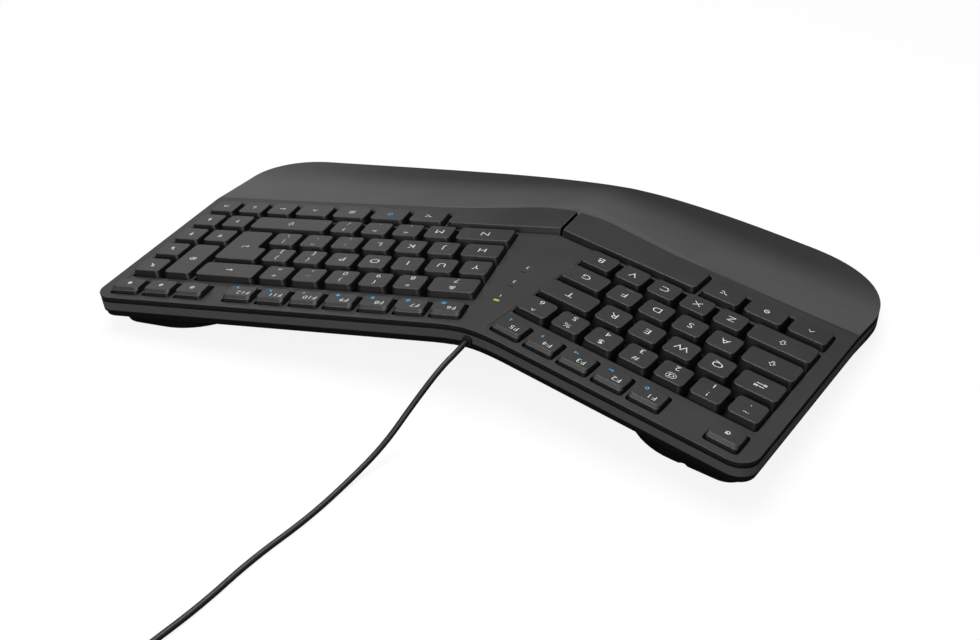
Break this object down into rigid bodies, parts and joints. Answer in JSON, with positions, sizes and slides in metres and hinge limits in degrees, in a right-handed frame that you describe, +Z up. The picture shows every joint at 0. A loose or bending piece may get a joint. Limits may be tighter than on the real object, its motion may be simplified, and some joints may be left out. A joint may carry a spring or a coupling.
{
  "type": "ergonomic keyboard",
  "caption": "Split, tented gull-wing keyboard with a curved one-piece palm rest, low spring-back keys, folding rear feet and a coiled cable with a plug.",
  "frame": {"origin": "on the desk, under the middle of the case's plan outline", "axes": "+Z up, +X to the user's right along the rows, +Y away from the user"},
  "size_m": [0.4078, 0.5023, 0.0427],
  "materials": {
    "upper_case_plastic": "moulded, fine matt grain",
    "lower_case_plastic": "moulded, satin",
    "key_plastic": "moulded, satin, with pale printed legends",
    "guide_plastic": "moulded",
    "dome_silicone": "translucent silicone",
    "circuit_film": "clear polyester film",
    "backing_steel": "zinc-plated sheet",
    "board_laminate": "lacquered glass-fibre laminate",
    "lens_plastic": "translucent",
    "cable_rubber": "smooth satin jacket",
    "tie_plastic": "flexible band",
    "plug_plastic": "moulded grip",
    "plug_steel": "nickel-plated",
    "foot_rubber": "soft",
    "screw_steel": "zinc-plated"
  },
  "bodies": {
    "base": {"top_case": "upper_case_plastic", "bottom_case": "lower_case_plastic", "key_plate_left": "guide_plastic", "key_plate_right": "guide_plastic", "dome_mat_left": "dome_silicone", "dome_mat_right": "dome_silicone", "circuit_sheet_upper": "circuit_film", "circuit_spacer_sheet": "circuit_film", "circuit_sheet_lower": "circuit_film", "backing_plates": "backing_steel", "controller_board": "board_laminate", "status_lenses": "lens_plastic", "cable_grommet": "cable_rubber", "usb_cable": "cable_rubber", "usb_cable_coil": "cable_rubber", "cable_tie": "tie_plastic", "usb_plug_body": "plug_plastic", "usb_plug_shell": "plug_steel", "rubber_feet": "foot_rubber", "case_screws": "screw_steel"},
    "flip_foot_left": {"flip_foot_left": "lower_case_plastic"},
    "flip_foot_right": {"flip_foot_right": "lower_case_plastic"},
    "key_q": {"key_q": "key_plastic"},
    "key_w": {"key_w": "key_plastic"},
    "key_e": {"key_e": "key_plastic"},
    "key_r": {"key_r": "key_plastic"},
    "key_t": {"key_t": "key_plastic"},
    "key_a": {"key_a": "key_plastic"},
    "key_s": {"key_s": "key_plastic"},
    "key_d": {"key_d": "key_plastic"},
    "key_f": {"key_f": "key_plastic"},
    "key_g": {"key_g": "key_plastic"},
    "key_z": {"key_z": "key_plastic"},
    "key_x": {"key_x": "key_plastic"},
    "key_c": {"key_c": "key_plastic"},
    "key_v": {"key_v": "key_plastic"},
    "key_b": {"key_b": "key_plastic"},
    "key_y": {"key_y": "key_plastic"},
    "key_u": {"key_u": "key_plastic"},
    "key_i": {"key_i": "key_plastic"},
    "key_o": {"key_o": "key_plastic"},
    "key_p": {"key_p": "key_plastic"},
    "key_h": {"key_h": "key_plastic"},
    "key_j": {"key_j": "key_plastic"},
    "key_k": {"key_k": "key_plastic"},
    "key_l": {"key_l": "key_plastic"},
    "key_n": {"key_n": "key_plastic"},
    "key_m": {"key_m": "key_plastic"},
    "number_keys_left": {"number_keys_left": "key_plastic"},
    "control_keys_left": {"control_keys_left": "key_plastic"},
    "function_keys_left": {"function_keys_left": "key_plastic"},
    "space_left": {"space_left": "key_plastic"},
    "number_keys_right": {"number_keys_right": "key_plastic"},
    "backspace_key": {"backspace_key": "key_plastic"},
    "symbol_keys_right": {"symbol_keys_right": "key_plastic"},
    "modifier_keys_right": {"modifier_keys_right": "key_plastic"},
    "navigation_keys": {"navigation_keys": "key_plastic"},
    "enter_key": {"enter_key": "key_plastic"},
    "function_keys_right": {"function_keys_right": "key_plastic"},
    "space_right": {"space_right": "key_plastic"}
  },
  "joints": [
    {"name": "key_q_press", "type": "slide", "parent": "base", "child": "key_q", "axis": [0.0997, 0.0389, -0.9943], "range_m": [0, 0.003], "stiffness_N_per_m": 200, "deforming": ["dome_mat_left"]},
    {"name": "key_w_press", "type": "slide", "parent": "base", "child": "key_w", "axis": [0.0997, 0.0389, -0.9943], "range_m": [0, 0.003], "stiffness_N_per_m": 200, "deforming": ["dome_mat_left"]},
    {"name": "key_e_press", "type": "slide", "parent": "base", "child": "key_e", "axis": [0.0997, 0.0389, -0.9943], "range_m": [0, 0.003], "stiffness_N_per_m": 200, "deforming": ["dome_mat_left"]},
    {"name": "key_r_press", "type": "slide", "parent": "base", "child": "key_r", "axis": [0.0997, 0.0389, -0.9943], "range_m": [0, 0.003], "stiffness_N_per_m": 200, "deforming": ["dome_mat_left"]},
    {"name": "key_t_press", "type": "slide", "parent": "base", "child": "key_t", "axis": [0.0997, 0.0389, -0.9943], "range_m": [0, 0.003], "stiffness_N_per_m": 200, "deforming": ["dome_mat_left"]},
    {"name": "key_a_press", "type": "slide", "parent": "base", "child": "key_a", "axis": [0.0997, 0.0389, -0.9943], "range_m": [0, 0.003], "stiffness_N_per_m": 200, "deforming": ["dome_mat_left"]},
    {"name": "key_s_press", "type": "slide", "parent": "base", "child": "key_s", "axis": [0.0997, 0.0389, -0.9943], "range_m": [0, 0.003], "stiffness_N_per_m": 200, "deforming": ["dome_mat_left"]},
    {"name": "key_d_press", "type": "slide", "parent": "base", "child": "key_d", "axis": [0.0997, 0.0389, -0.9943], "range_m": [0, 0.003], "stiffness_N_per_m": 200, "deforming": ["dome_mat_left"]},
    {"name": "key_f_press", "type": "slide", "parent": "base", "child": "key_f", "axis": [0.0997, 0.0389, -0.9943], "range_m": [0, 0.003], "stiffness_N_per_m": 200, "deforming": ["dome_mat_left"]},
    {"name": "key_g_press", "type": "slide", "parent": "base", "child": "key_g", "axis": [0.0997, 0.0389, -0.9943], "range_m": [0, 0.003], "stiffness_N_per_m": 200, "deforming": ["dome_mat_left"]},
    {"name": "key_z_press", "type": "slide", "parent": "base", "child": "key_z", "axis": [0.0997, 0.0389, -0.9943], "range_m": [0, 0.003], "stiffness_N_per_m": 200, "deforming": ["dome_mat_left"]},
    {"name": "key_x_press", "type": "slide", "parent": "base", "child": "key_x", "axis": [0.0997, 0.0389, -0.9943], "range_m": [0, 0.003], "stiffness_N_per_m": 200, "deforming": ["dome_mat_left"]},
    {"name": "key_c_press", "type": "slide", "parent": "base", "child": "key_c", "axis": [0.0997, 0.0389, -0.9943], "range_m": [0, 0.003], "stiffness_N_per_m": 200, "deforming": ["dome_mat_left"]},
    {"name": "key_v_press", "type": "slide", "parent": "base", "child": "key_v", "axis": [0.0997, 0.0389, -0.9943], "range_m": [0, 0.003], "stiffness_N_per_m": 200, "deforming": ["dome_mat_left"]},
    {"name": "key_b_press", "type": "slide", "parent": "base", "child": "key_b", "axis": [0.0997, 0.0389, -0.9943], "range_m": [0, 0.003], "stiffness_N_per_m": 200, "deforming": ["dome_mat_left"]},
    {"name": "key_y_press", "type": "slide", "parent": "base", "child": "key_y", "axis": [-0.0997, 0.0389, -0.9943], "range_m": [0, 0.003], "stiffness_N_per_m": 200, "deforming": ["dome_mat_right"]},
    {"name": "key_u_press", "type": "slide", "parent": "base", "child": "key_u", "axis": [-0.0997, 0.0389, -0.9943], "range_m": [0, 0.003], "stiffness_N_per_m": 200, "deforming": ["dome_mat_right"]},
    {"name": "key_i_press", "type": "slide", "parent": "base", "child": "key_i", "axis": [-0.0997, 0.0389, -0.9943], "range_m": [0, 0.003], "stiffness_N_per_m": 200, "deforming": ["dome_mat_right"]},
    {"name": "key_o_press", "type": "slide", "parent": "base", "child": "key_o", "axis": [-0.0997, 0.0389, -0.9943], "range_m": [0, 0.003], "stiffness_N_per_m": 200, "deforming": ["dome_mat_right"]},
    {"name": "key_p_press", "type": "slide", "parent": "base", "child": "key_p", "axis": [-0.0997, 0.0389, -0.9943], "range_m": [0, 0.003], "stiffness_N_per_m": 200, "deforming": ["dome_mat_right"]},
    {"name": "key_h_press", "type": "slide", "parent": "base", "child": "key_h", "axis": [-0.0997, 0.0389, -0.9943], "range_m": [0, 0.003], "stiffness_N_per_m": 200, "deforming": ["dome_mat_right"]},
    {"name": "key_j_press", "type": "slide", "parent": "base", "child": "key_j", "axis": [-0.0997, 0.0389, -0.9943], "range_m": [0, 0.003], "stiffness_N_per_m": 200, "deforming": ["dome_mat_right"]},
    {"name": "key_k_press", "type": "slide", "parent": "base", "child": "key_k", "axis": [-0.0997, 0.0389, -0.9943], "range_m": [0, 0.003], "stiffness_N_per_m": 200, "deforming": ["dome_mat_right"]},
    {"name": "key_l_press", "type": "slide", "parent": "base", "child": "key_l", "axis": [-0.0997, 0.0389, -0.9943], "range_m": [0, 0.003], "stiffness_N_per_m": 200, "deforming": ["dome_mat_right"]},
    {"name": "key_n_press", "type": "slide", "parent": "base", "child": "key_n", "axis": [-0.0997, 0.0389, -0.9943], "range_m": [0, 0.003], "stiffness_N_per_m": 200, "deforming": ["dome_mat_right"]},
    {"name": "key_m_press", "type": "slide", "parent": "base", "child": "key_m", "axis": [-0.0997, 0.0389, -0.9943], "range_m": [0, 0.003], "stiffness_N_per_m": 200, "deforming": ["dome_mat_right"]},
    {"name": "number_keys_left_press", "type": "slide", "parent": "base", "child": "number_keys_left", "axis": [0.0997, 0.0389, -0.9943], "range_m": [0, 0.003], "stiffness_N_per_m": 1400, "deforming": ["dome_mat_left"]},
    {"name": "control_keys_left_press", "type": "slide", "parent": "base", "child": "control_keys_left", "axis": [0.0997, 0.0389, -0.9943], "range_m": [0, 0.003], "stiffness_N_per_m": 1200, "deforming": ["dome_mat_left"]},
    {"name": "function_keys_left_press", "type": "slide", "parent": "base", "child": "function_keys_left", "axis": [0.0997, 0.0389, -0.9943], "range_m": [0, 0.003], "stiffness_N_per_m": 1200, "deforming": ["dome_mat_left"]},
    {"name": "space_left_press", "type": "slide", "parent": "base", "child": "space_left", "axis": [0.0997, 0.0389, -0.9943], "range_m": [0, 0.003], "stiffness_N_per_m": 200, "deforming": ["dome_mat_left"]},
    {"name": "number_keys_right_press", "type": "slide", "parent": "base", "child": "number_keys_right", "axis": [-0.0997, 0.0389, -0.9943], "range_m": [0, 0.003], "stiffness_N_per_m": 1200, "deforming": ["dome_mat_right"]},
    {"name": "backspace_key_press", "type": "slide", "parent": "base", "child": "backspace_key", "axis": [-0.0997, 0.0389, -0.9943], "range_m": [0, 0.003], "stiffness_N_per_m": 200, "deforming": ["dome_mat_right"]},
    {"name": "symbol_keys_right_press", "type": "slide", "parent": "base", "child": "symbol_keys_right", "axis": [-0.0997, 0.0389, -0.9943], "range_m": [0, 0.003], "stiffness_N_per_m": 1600, "deforming": ["dome_mat_right"]},
    {"name": "modifier_keys_right_press", "type": "slide", "parent": "base", "child": "modifier_keys_right", "axis": [-0.0997, 0.0389, -0.9943], "range_m": [0, 0.003], "stiffness_N_per_m": 1000, "deforming": ["dome_mat_right"]},
    {"name": "navigation_keys_press", "type": "slide", "parent": "base", "child": "navigation_keys", "axis": [-0.0997, 0.0389, -0.9943], "range_m": [0, 0.003], "stiffness_N_per_m": 2000, "deforming": ["dome_mat_right"]},
    {"name": "enter_key_press", "type": "slide", "parent": "base", "child": "enter_key", "axis": [-0.0997, 0.0389, -0.9943], "range_m": [0, 0.003], "stiffness_N_per_m": 200, "deforming": ["dome_mat_right"]},
    {"name": "function_keys_right_press", "type": "slide", "parent": "base", "child": "function_keys_right", "axis": [-0.0997, 0.0389, -0.9943], "range_m": [0, 0.003], "stiffness_N_per_m": 2000, "deforming": ["dome_mat_right"]},
    {"name": "space_right_press", "type": "slide", "parent": "base", "child": "space_right", "axis": [-0.0997, 0.0389, -0.9943], "range_m": [0, 0.003], "stiffness_N_per_m": 200, "deforming": ["dome_mat_right"]},
    {"name": "flip_foot_left_hinge", "type": "hinge", "parent": "base", "child": "flip_foot_left", "pos_m": [-0.14758, 0.08906, 0.0039], "axis": [0.9863, -0.165, 0], "range_deg": [0, 75]},
    {"name": "flip_foot_right_hinge", "type": "hinge", "parent": "base", "child": "flip_foot_right", "pos_m": [0.14796, 0.10324, 0.0039], "axis": [0.9863, 0.165, 0], "range_deg": [0, 75]}
  ]
}
